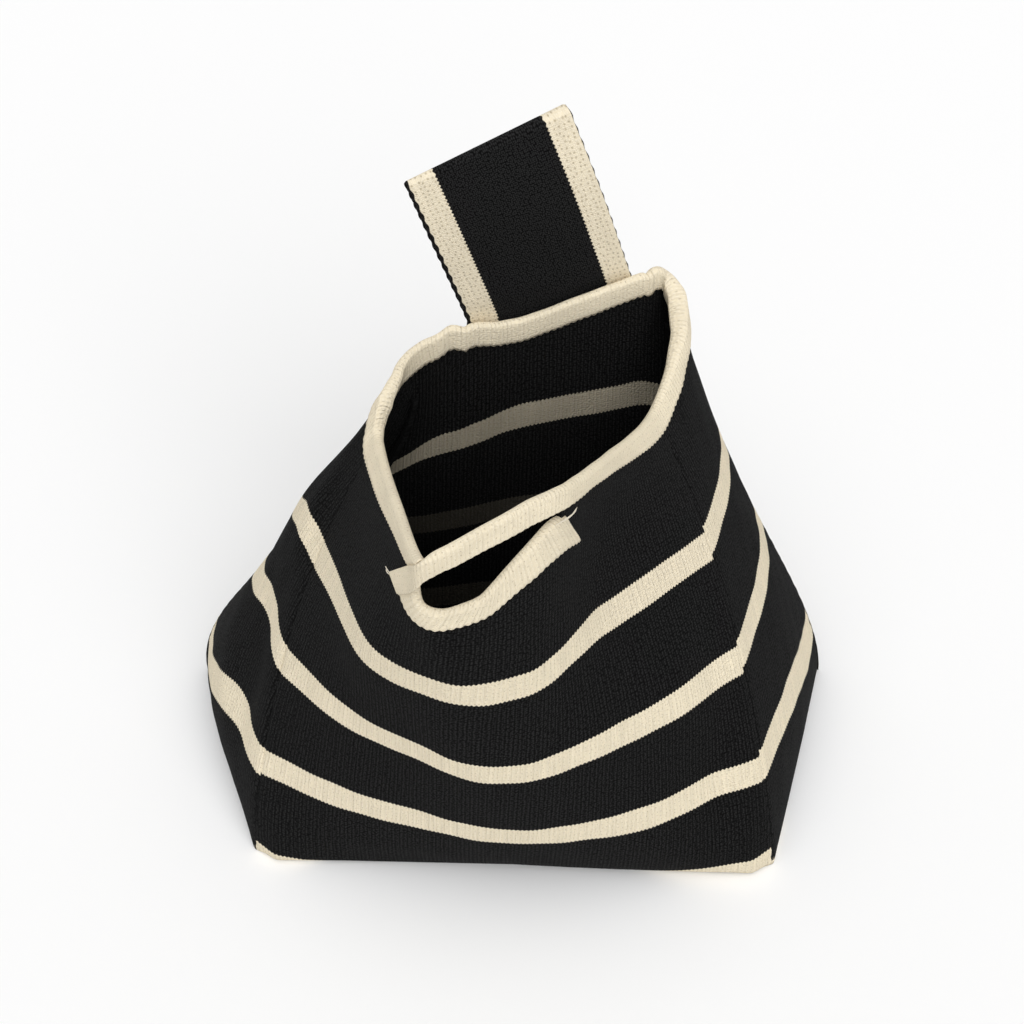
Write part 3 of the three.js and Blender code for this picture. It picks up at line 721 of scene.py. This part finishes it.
def wall(node, first, last, tuck, stripe_rise=0):
    """Wall panel of canvas between two seams, with its edges rolled in and puckered by the sewing."""
    s = wall_columns(first, last)
    full = cloth_height(s)[:, None]
    v = (1 - slot_depth(s)[:, None] / full) * np.linspace(0, 1, ROWS + 1)
    s_grid = np.broadcast_to(s[:, None], v.shape)
    across, height = ring_widths(s, v), v * full
    from_seam = np.minimum(across - across[:1], across[-1:] - across)
    under_tape = ease((full - height - RIM_TAPE_DROP) / SEAM_FLATTEN)  # the seams lie flat under the rim tape
    (low, low_roll), (high, high_roll) = SEAM_ROLL
    pressed = mix(low_roll, high_roll, ease((height - low) / (high - low)))
    roll = pressed * np.clip(1 - from_seam / SEAM_ROLL_WIDTH, 0, 1) ** 2 * under_tape
    wave = np.sin(TURN * height / PUCKER_LENGTH + from_seam / PUCKER_SLANT)
    pucker = PUCKER_SHARE * pressed * wave * np.exp(-from_seam / PUCKER_WIDTH) * under_tape
    foot = np.clip(1 - height / FOOT_TURN, 0, 1) ** 2
    beside_seam = ease(from_seam / SEAM_THIN_WIDTH)
    out = normal(s_grid, v, first, last)
    move = relief(s_grid, v) + pucker - roll - FOOT_INSET * foot * beside_seam
    outer = surface(s_grid, v) + out * move[..., None]
    outer[..., 2] -= FOOT_DROP * WALL_LIFT * foot
    inner = outer - out * (CLOTH * mix(SEAM_THIN, 1, beside_seam))[..., None]
    inner[..., 2] = np.maximum(inner[..., 2], INNER_FOOT)
    turned = FOOT_TUCK * np.broadcast_to(tuck(s) if callable(tuck) else tuck, s.shape)[:, None]
    pattern = height + stripe_rise + turned * np.clip(1 - height / FOOT_TUCK_HEIGHT, 0, 1)
    pattern = pattern + hills(s_grid, height, STRIPE_PULLS)
    piece = thick_sheet(f"{node}_canvas", outer, inner, np.stack([across, pattern], -1), CANVAS)
    finish_piece(piece, "canvas", node)
    declare_cloth(outer)


wall("front_panel", FRONT_START, FRONT_RIGHT, front_tuck)
wall("right_gusset", FRONT_RIGHT, BACK_RIGHT, 1, stripe_rise=-2.5)
wall("back_panel", BACK_RIGHT, BACK_LEFT, 0.5)
wall("left_gusset", BACK_LEFT, FRONT_LEFT, 1)

BASE_INSET = CLOTH + 3 * CLEARANCE
BASE_RIPPLE, BASE_RIPPLE_START = 0.25, 20  # depth, and distance from the edge where it is reached


def base_place(x, y, inset):
    """Point on the base, with x from left to right and y from front to back from 0 to 1 inside the inset."""
    front_left, front_right, back_right, back_left = (BASE_POINTS[k % COUNT] for k in (FRONT_LEFT, *SEAMS[:3]))
    x = mix(inset / BASE_FRONT, 1 - inset / BASE_FRONT, x)[..., None]
    y = mix(inset / BASE_DEPTH, 1 - inset / BASE_DEPTH, y)[..., None]
    return mix(mix(front_left, front_right, x), mix(back_left, back_right, x), y)


def base_panel():
    """Base of canvas, flat on the surface that the bag stands on."""
    x, y = np.meshgrid(np.linspace(0, 1, 61), np.linspace(0, 1, 31), indexing="ij")
    outer = base_place(x, y, BASE_INSET)
    cloth = np.stack([outer[..., 0], outer[..., 1] - 2 * STRIPE_PITCH], -1)  # below all stripes, so plain black
    edge = np.minimum(np.minimum(x, 1 - x) * BASE_FRONT, np.minimum(y, 1 - y) * BASE_DEPTH)
    outer[..., 1] -= foot_sag(mix(FRONT_START, FRONT_RIGHT, x), np.zeros_like(x)) * (1 - y) ** 2
    outer[..., 2] = 0
    ripple = BASE_RIPPLE * np.sin(x * 23) * np.sin(y * 11) * ease(edge / BASE_RIPPLE_START)
    inner = outer + UP * (CLOTH + ripple - BASE_RIPPLE)[..., None]
    piece = thick_sheet("base_panel_canvas", outer, inner, cloth, CANVAS)
    finish_piece(piece, "canvas", "base_panel")
    declare_cloth(outer)


def base_binding():
    """Tape round the raw edges of the base seam, lying on the base all round."""
    corner = np.array([(0, 0), (1, 0), (1, 1), (0, 1), (0, 0)], float)
    sides = [mix(a, b, np.linspace(0.02, 0.98, 60)[:, None]) for a, b in zip(corner[:-1], corner[1:])]
    x, y = np.concatenate(sides).T
    centres = base_place(x, y, BASE_INSET + CLEARANCE + SEAM_ALLOWANCE / 2)
    centres[:, 2] = CLOTH + CLEARANCE + SEAM_THICKNESS / 2
    thin = np.broadcast_to(UP, centres.shape)
    return band("base_seam_tape", centres, thin, SEAM_ALLOWANCE / 2, SEAM_THICKNESS / 2, SEAM_TAPE, closed=True)


def corner_binding(name, s):
    """Tape round the raw edges of a corner seam, standing into the bag and pressed narrower towards the rim."""
    start = (CLOTH + SEAM_THICKNESS + SEAM_ALLOWANCE / 2) / cloth_height(np.array(s))
    end = 1 - 3 * RIM_TAPE_DROP / cloth_height(np.array(s))
    v = np.linspace(start, end, 90)
    at = np.full_like(v, s)
    inward = -unit(normal(at, v, last=s) + normal(at, v, first=s))
    beside = 0.125  # stations from the seam, where the walls' directions are taken
    roots = []  # how far from the corner the tape finds room beside each wall
    for step in (beside, -beside):
        sine = -np.sum(inward * normal(at + step, v), axis=-1)
        cosine = np.sqrt(1 - sine**2)
        roots.append((CLOTH + 2 * CLEARANCE + SEAM_THICKNESS / 2 * cosine) / sine)
    half_width = SEAM_ALLOWANCE / 2 * mix(1, 0.25, ease((v - 0.6) / 0.35))
    centres = surface(at, v) + inward * (np.max(roots, axis=0) + half_width)[:, None]
    along = surface(at + STATION_STEP, v) - surface(at - STATION_STEP, v)
    return band(name, centres, unit(along), half_width, SEAM_THICKNESS / 2, SEAM_TAPE)


base_panel()
finish_piece(base_binding(), "inner_tape", "base_seam_binding")
CORNERS = ("front_right", "back_right", "back_left", "front_left")
for corner, s in zip(CORNERS, SEAMS):
    finish_piece(corner_binding(f"{corner}_seam_tape", s), "inner_tape", f"{corner}_seam_binding")

# Bindings


def rim_stations(first, last, spacing):
    """Stations at even distances along the rim."""
    fine = np.linspace(first, last, 4000)
    run = runs(surface(fine, 1.0))
    return np.interp(np.linspace(0, run[-1], round(run[-1] / spacing)), run, fine), run[-1]


def bumps(s, places):
    """Sum of soft bumps along the rim, each with its station, half width and size."""
    return sum(size * np.exp(-(((s - station) / half_width) ** 2)) for station, half_width, size in places)


def rim_binding():
    """Tape folded over the rim, from the bar's right end round to the tip."""
    s, length = rim_stations(GRIP_RIGHT, COUNT - 1.0, HEM_LOOP / 5)
    run = np.linspace(0, length, len(s))
    crest = RIM_TAPE_RISE - TAPE / 2 - TAPE_OUT
    legs = np.array([RIM_TAPE_DROP, 5.4, 3.6, 1.8, 0])
    arc = np.linspace(0, math.pi, 13)
    pressed = HEM_PRESS * np.array([1, 1 / 3, 0, 0, 0])
    out = np.concatenate([TAPE_OUT - pressed, TAPE_OUT * np.cos(arc), (pressed - TAPE_OUT)[::-1]])
    depth = np.concatenate([legs, -crest - TAPE_OUT * np.sin(arc), legs[::-1]])
    depths = np.broadcast_to(depth, (len(s), len(depth))).copy()
    depths[:, [0, -1]] += HEM_STEP * np.cos(TURN * run / HEM_LOOP)[:, None]
    depths += bumps(s, RIM_DENTS)[:, None]
    flare = 1 + bumps(s, RIM_FLARES)
    middle = cloth_at(s[:, None], depths, flare[:, None] * out)
    across = np.broadcast_to(runs(np.stack([out, depth], -1)), depths.shape)
    cloth = np.stack([np.broadcast_to(run[:, None], depths.shape), across], -1)
    piece = tape_sheet("rim_tape", middle, TAPE, cloth, CREAM_TAPE)
    finish_piece(piece, "cream_tape", "rim_binding")
    declare_cloth(middle)


def slot_binding():
    """Wide tape folded over the slot's lower edge, with its raw ends cut square."""
    t = np.linspace(0, len(SLOT_EDGE) - 1, 200)
    edge, hem = through(SLOT_EDGE, t), through(SLOT_HEM, t)
    hem[:, 1] += HEM_STEP * np.cos(TURN * runs(cloth_at(*hem.T, 0)) / HEM_LOOP)
    fold_middle = cloth_at(*edge.T, 0)
    beyond = unit(fold_middle - cloth_at(*mix(hem, edge, 0.8).T, 0))
    out = normal(edge[:, 0], 1 - edge[:, 1] / cloth_height(edge[:, 0]))
    arc = np.linspace(0, math.pi, 9)
    middle = np.stack([
        *(cloth_at(*mix(hem, edge, f).T, TAPE_OUT - HEM_PRESS * (f == 0)) for f in np.linspace(0, 0.96, 9)),
        *(fold_middle + (out * math.cos(a) + beyond * math.sin(a)) * TAPE_OUT for a in arc),
        *(cloth_at(*mix(hem, edge, f).T, -TAPE_OUT) for f in np.linspace(0.96, 0.4, 5)),
    ], 1)
    along = np.broadcast_to(runs(fold_middle)[:, None], middle.shape[:2])
    across = np.cumsum(np.linalg.norm(np.diff(middle, axis=1, prepend=middle[:, :1]), axis=-1), axis=1)
    piece = tape_sheet("slot_tape", middle, TAPE, np.stack([along, across], -1), CREAM_TAPE)
    finish_piece(piece, "cream_tape", "slot_binding")
    declare_cloth(middle)


def grip_lines():
    """Low and top edge of the grip bar and half its thickness, from the rim tape to the raw left end."""
    s = np.linspace(GRIP_RIGHT, GRIP_LEFT, 12)
    top, low = cloth_at(s, -RIM_TAPE_RISE, 0), cloth_at(s, RIM_TAPE_DROP, 0)
    top_end, low_end = (cloth_at(*np.transpose(edge)) for edge in zip(*GRIP_END))
    top, low = np.vstack([top, top_end]), np.vstack([low, low_end])
    t = np.linspace(0, len(top) - 1, 300)
    half = mix(TAPE_FACE, GRIP_END_HALF, ease((t - len(s) + 1) / 2))
    return through(low, t), through(top, t), half


def grip_half(name, low, top, half, run):
    """One half of the bar: tape folded along its top edge, with its two hems laid together."""
    width = np.linalg.norm(top - low, axis=-1)[:, None]
    upward = unit(top - low)
    outward = unit(np.cross(upward, np.gradient((low + top) / 2, axis=0)))
    half = half[:, None]
    scallop = GRIP_HEM_STEP * np.cos(TURN * run / HEM_LOOP)[:, None]
    arc = np.linspace(0, math.pi, 11)[1:-1]
    hem = np.array([0.0, 0.5, 1.5])
    ups = np.concatenate([np.array([0.7, 0.4, 0]) * scallop + hem, width * [0.3, 0.5], width - half], axis=1)
    crest = width - half + half * np.sin(arc)
    outs = half * np.array([0.65, 0.93, 1, 1, 1, 1])
    up = np.concatenate([ups, crest, ups[:, ::-1]], axis=1)
    out = np.concatenate([outs, half * np.cos(arc), -outs[:, ::-1]], axis=1)
    points = low[:, None] + upward[:, None] * up[..., None] + outward[:, None] * out[..., None]
    across = runs(np.stack([up, out], -1).swapaxes(0, 1)).T
    cloth = np.stack([np.broadcast_to(-run[:, None], across.shape), across], -1)
    return make_piece(name, points, tube_faces(*across.shape, False), CREAM_TAPE, cloth)


def grip_bar():
    """Grip bar in two halves that meet at its middle."""
    low, top, half = grip_lines()
    middle = (low + top) / 2
    run = runs(middle)
    depth = (RIM_TAPE_DROP - RIM_TAPE_RISE) / 2

    def nearest(s):
        return int(np.argmin(np.linalg.norm(middle - cloth_at(s, depth, 0), axis=-1)))

    cut = nearest(GRIP_MIDDLE)
    for side, part in (("right", slice(0, cut + 1)), ("left", slice(cut, None))):
        piece = grip_half(f"grip_bar_{side}_tape", low[part], top[part], half[part], run[part])
        finish_piece(piece, "cream_tape", "grip_bar", body=None)
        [tuple(middle[nearest(s)] * MM) for s in GRIP_SEWN[side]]
        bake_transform(piece)


rim_binding()
slot_binding()
grip_bar()

# Wrist strap, in a frame at the middle of its fold line: along the rim, out from the back wall and up

SWING = next(joint for joint in frame["record"]["behaviour"]["joints"] if joint["name"] == "strap_swing")
STRAP_FOLD = np.array(SWING["pos_m"]) / MM
STRAP_ALONG = unit(np.array(SWING["axis"]))
STRAP_OUT = unit(np.cross(UP, STRAP_ALONG))
STRAP_UP = np.cross(STRAP_ALONG, STRAP_OUT)
STRAP_LAYER = STRAP_THICKNESS / 2 + CLEARANCE / 2  # middle of each sewn layer from the middle of both
LEAN = math.radians(STRAP_LEAN)


def wall_slope():
    """Slope of the back wall under the strap's sewn ends."""
    sewn = 1 - STRAP_SEWN_LENGTH / cloth_height(np.array(STRAP_MIDDLE))
    fall = surface(STRAP_MIDDLE, sewn) - surface(STRAP_MIDDLE, 1)
    return fall.dot(STRAP_OUT) / fall.dot(STRAP_UP)


WALL_SLOPE = wall_slope()


def strap_line():
    """Middle line of the folded webbing, seen from its side: front sewn end, loop and back sewn end."""

    def leaf(side):
        heights = [-STRAP_SEWN_LENGTH, -STRAP_SEWN_LENGTH / 2, -4, 0]
        return [(side * STRAP_LAYER + WALL_SLOPE * min(y, 0), y - FOLD_ABOVE_ENDS) for y in heights]

    def leaned(across, up):
        return (across * math.cos(LEAN) + up * math.sin(LEAN), up * math.cos(LEAN) - across * math.sin(LEAN))

    shoulder = STRAP_HEIGHT - STRAP_THICKNESS / 2 - STRAP_TOP_RADIUS
    front = leaf(-1) + [leaned(-half, up) for up, half in STRAP_OPENING]
    angles = np.linspace(math.pi, 0, 9)
    top = [leaned(STRAP_TOP_RADIUS * math.cos(a), shoulder + STRAP_TOP_RADIUS * math.sin(a)) for a in angles]
    back = [leaned(half, up) for up, half in reversed(STRAP_OPENING)] + leaf(1)[::-1]
    points = front + top + back
    return evenly(through(points, np.linspace(0, len(points) - 1, 1200)), 280)


def strap_point(out, up, along):
    """Place of a point of the strap, which leans back and left, and is more open and higher at the right."""
    height = out * math.sin(LEAN) + up * math.cos(LEAN)
    reach = np.maximum(height, 0)
    lift = reach / STRAP_HEIGHT * STRAP_TOP_RISE * along / STRAP_WIDTH
    across = out * math.cos(LEAN) - up * math.sin(LEAN)
    opened = across * (STRAP_SIDE_OPENING * 2 * along / STRAP_WIDTH) * ease(reach / STRAP_SIDE_START)
    tipped = np.maximum(height, STRAP_ROLL_START) + lift
    along = along + STRAP_SLIDE - tipped * math.tan(math.radians(STRAP_ROLL))
    out = out + lift * math.sin(LEAN) + opened * math.cos(LEAN)
    up = up + lift * math.cos(LEAN) - opened * math.sin(LEAN)
    return STRAP_FOLD + STRAP_OUT * out[..., None] + STRAP_UP * up[..., None] + STRAP_ALONG * along[..., None]


def strap_sheet():
    """Webbing folded to a loop and sewn outside the back rim, with looped selvages."""
    line = strap_line()
    run = runs(line)
    tangent = unit(np.gradient(line, axis=0))
    side = np.stack([-tangent[:, 1], tangent[:, 0]], -1) * STRAP_THICKNESS / 2
    share = np.linspace(-1, 1, 33)
    share = np.sign(share) * (1 - (1 - np.abs(share)) ** 1.3)
    selvage = (np.abs(share) > 0.99)[:, None]
    loops = SELVAGE_SWING * np.cos(TURN * run / SELVAGE_LOOP)
    along = share[:, None] * (STRAP_WIDTH / 2 - SELVAGE_EASE) + selvage * np.sign(share)[:, None] * loops
    thin = np.where(selvage, SELVAGE_THIN, 1)
    faces = [strap_point(*(line + direction * side).T[:, None], along) for direction in (1, -1)]
    middle = strap_point(*line.T[:, None], along)
    faces = [mix(middle, face, thin[..., None]) for face in faces]
    cloth = np.stack([along + STRAP_WIDTH / 2, np.broadcast_to(run, along.shape)], -1)
    piece = thick_sheet("wrist_strap_webbing", *faces, cloth, WEBBING)
    finish_piece(piece, "strap_webbing", "strap_front_end", "strap_back_end", "strap_loop", body=None)
    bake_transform(piece)
    declare_cloth(middle)


strap_sheet()

# Stitches and frayed threads


def stitches(points, out, length, gap, sink):
    """Short lines of stitches along a line of points, raised in their middle along out."""
    share = np.linspace(0, 1, 7)
    arch = np.sin(math.pi * share) * sink - sink / 2
    starts = np.arange(gap, runs(points)[-1] - length, length + gap)
    return [along_line(points, start + length * share) + out * arch[:, None] for start in starts]


def strap_stitches():
    """Two rows of stitches through the strap's sewn ends, behind the bag."""
    along = np.linspace(-STRAP_WIDTH / 2 + 3, STRAP_WIDTH / 2 - 3, 60)
    rows = []
    for below in (-5.0, -STRAP_SEWN_LENGTH + 4):
        out = STRAP_LAYER + STRAP_THICKNESS / 2 + WALL_SLOPE * below
        points = strap_point(np.full_like(along, out), np.full_like(along, below - FOLD_ABOVE_ENDS), along)
        rows += stitches(points, STRAP_OUT, length=2.8, gap=1.2, sink=0.4)
    return threads("strap_stitches", rows, radius=0.32, material=BLACK_THREAD)


def frayed_ends():
    """Loose cotton ends at the bar's raw corner and where the slot tape is cut, as station, depth and out."""
    wisps = [
        [(-1.335, 22.5, 3.2), (-1.355, 21.8, 3.6), (-1.37, 20.9, 4.0)],
        [(-1.335, 23.5, 3.2), (-1.35, 23.0, 3.6), (-1.36, 22.0, 3.9)],
        [(0.36, 11.6, 2.6), (0.48, 10.4, 3.4), (0.62, 8.4, 3.2)],
        [(0.3, 12.0, 2.4), (0.42, 10.4, 3.2), (0.55, 9.6, 3.4)],
        [(0.48, 11.6, 2.4), (0.56, 10.2, 3.2), (0.62, 9.2, 3.0)],
    ]
    lines = [cloth_at(*through(wisp, np.linspace(0, 2, 9)).T) for wisp in wisps]
    return threads("frayed_ends", lines, radius=0.22, material=CREAM_THREAD)


finish_piece(strap_stitches(), "strap_webbing")
finish_piece(frayed_ends(), "cream_tape")

# Floor, light and camera

FLOOR_SIZE = 8.0  # metres
FLOOR_GAP = 0.3  # floor below the base


def floor():
    """Pale seamless floor."""
    material, tree, output = new_material("white_paper_floor")
    shader = add(tree, "ShaderNodeBsdfDiffuse", {"Color": linear("#fbfbfb")})
    tree.links.new(shader.outputs[0], output.inputs["Surface"])
    half = FLOOR_SIZE / 2
    corners = ((-half, -half), (half, -half), (half, half), (-half, half))
    mesh = bpy.data.meshes.new("floor")
    mesh.from_pydata([(x, y, -FLOOR_GAP * MM) for x, y in corners], [], [(0, 1, 2, 3)])
    mesh.materials.append(material)
    piece = bpy.data.objects.new("floor", mesh)
    bpy.context.collection.objects.link(piece)


def white_world(ambient):
    """Even fill light, shown as white behind the object."""
    world = bpy.data.worlds.new("studio")
    bpy.context.scene.world = world
    world.use_nodes = True
    tree = world.node_tree
    tree.nodes.clear()
    fill = add(tree, "ShaderNodeBackground", {"Color": (1, 1, 1, 1), "Strength": ambient})
    white = add(tree, "ShaderNodeBackground", {"Color": (1, 1, 1, 1), "Strength": 1.0})
    path = add(tree, "ShaderNodeLightPath").outputs
    rays = [path["Is Camera Ray"], path["Is Glossy Ray"]]
    seen = add(tree, "ShaderNodeMath", rays, operation="MAXIMUM").outputs[0]
    seen = add(tree, "ShaderNodeMath", [seen, path["Is Transmission Ray"]], operation="MAXIMUM").outputs[0]
    shown = add(tree, "ShaderNodeMixShader", [seen, fill.outputs[0], white.outputs[0]])
    output = add(tree, "ShaderNodeOutputWorld")
    tree.links.new(shown.outputs[0], output.inputs["Surface"])


def soft_lamp(name, direction, strength, width):
    """Distant lamp as wide as a studio softbox, in degrees, shining along direction."""
    light = bpy.data.lights.new(name, "SUN")
    light.energy = strength
    light.angle = math.radians(width)
    lamp = bpy.data.objects.new(name, light)
    lamp.rotation_euler = Vector(direction).to_track_quat("-Z", "Y").to_euler()
    bpy.context.collection.objects.link(lamp)


def photo_camera():
    """Camera at the photograph's angle: straight on, 50 degrees above the horizon."""
    aim = Vector((-0.6, 85.4, 90)) * MM
    distance, elevation, focal_px, frame_px = 935 * MM, math.radians(50), 1900, 1024
    camera = bpy.data.cameras.new("camera")
    camera.sensor_width = 36
    camera.lens = camera.sensor_width * focal_px / frame_px
    view = bpy.data.objects.new("camera", camera)
    view.location = aim + distance * Vector((0, -math.cos(elevation), math.sin(elevation)))
    view.rotation_euler = (aim - view.location).to_track_quat("-Z", "Y").to_euler()
    bpy.context.collection.objects.link(view)
    bpy.context.scene.camera = view


floor()
white_world(ambient=0.38)
soft_lamp("overhead_softbox", (0.1, 0.15, -1), strength=1.35, width=60)
soft_lamp("front_softbox", (-0.3, 0.7, -0.75), strength=1.0, width=50)
photo_camera()
bpy.context.scene.view_settings.view_transform = "Standard"
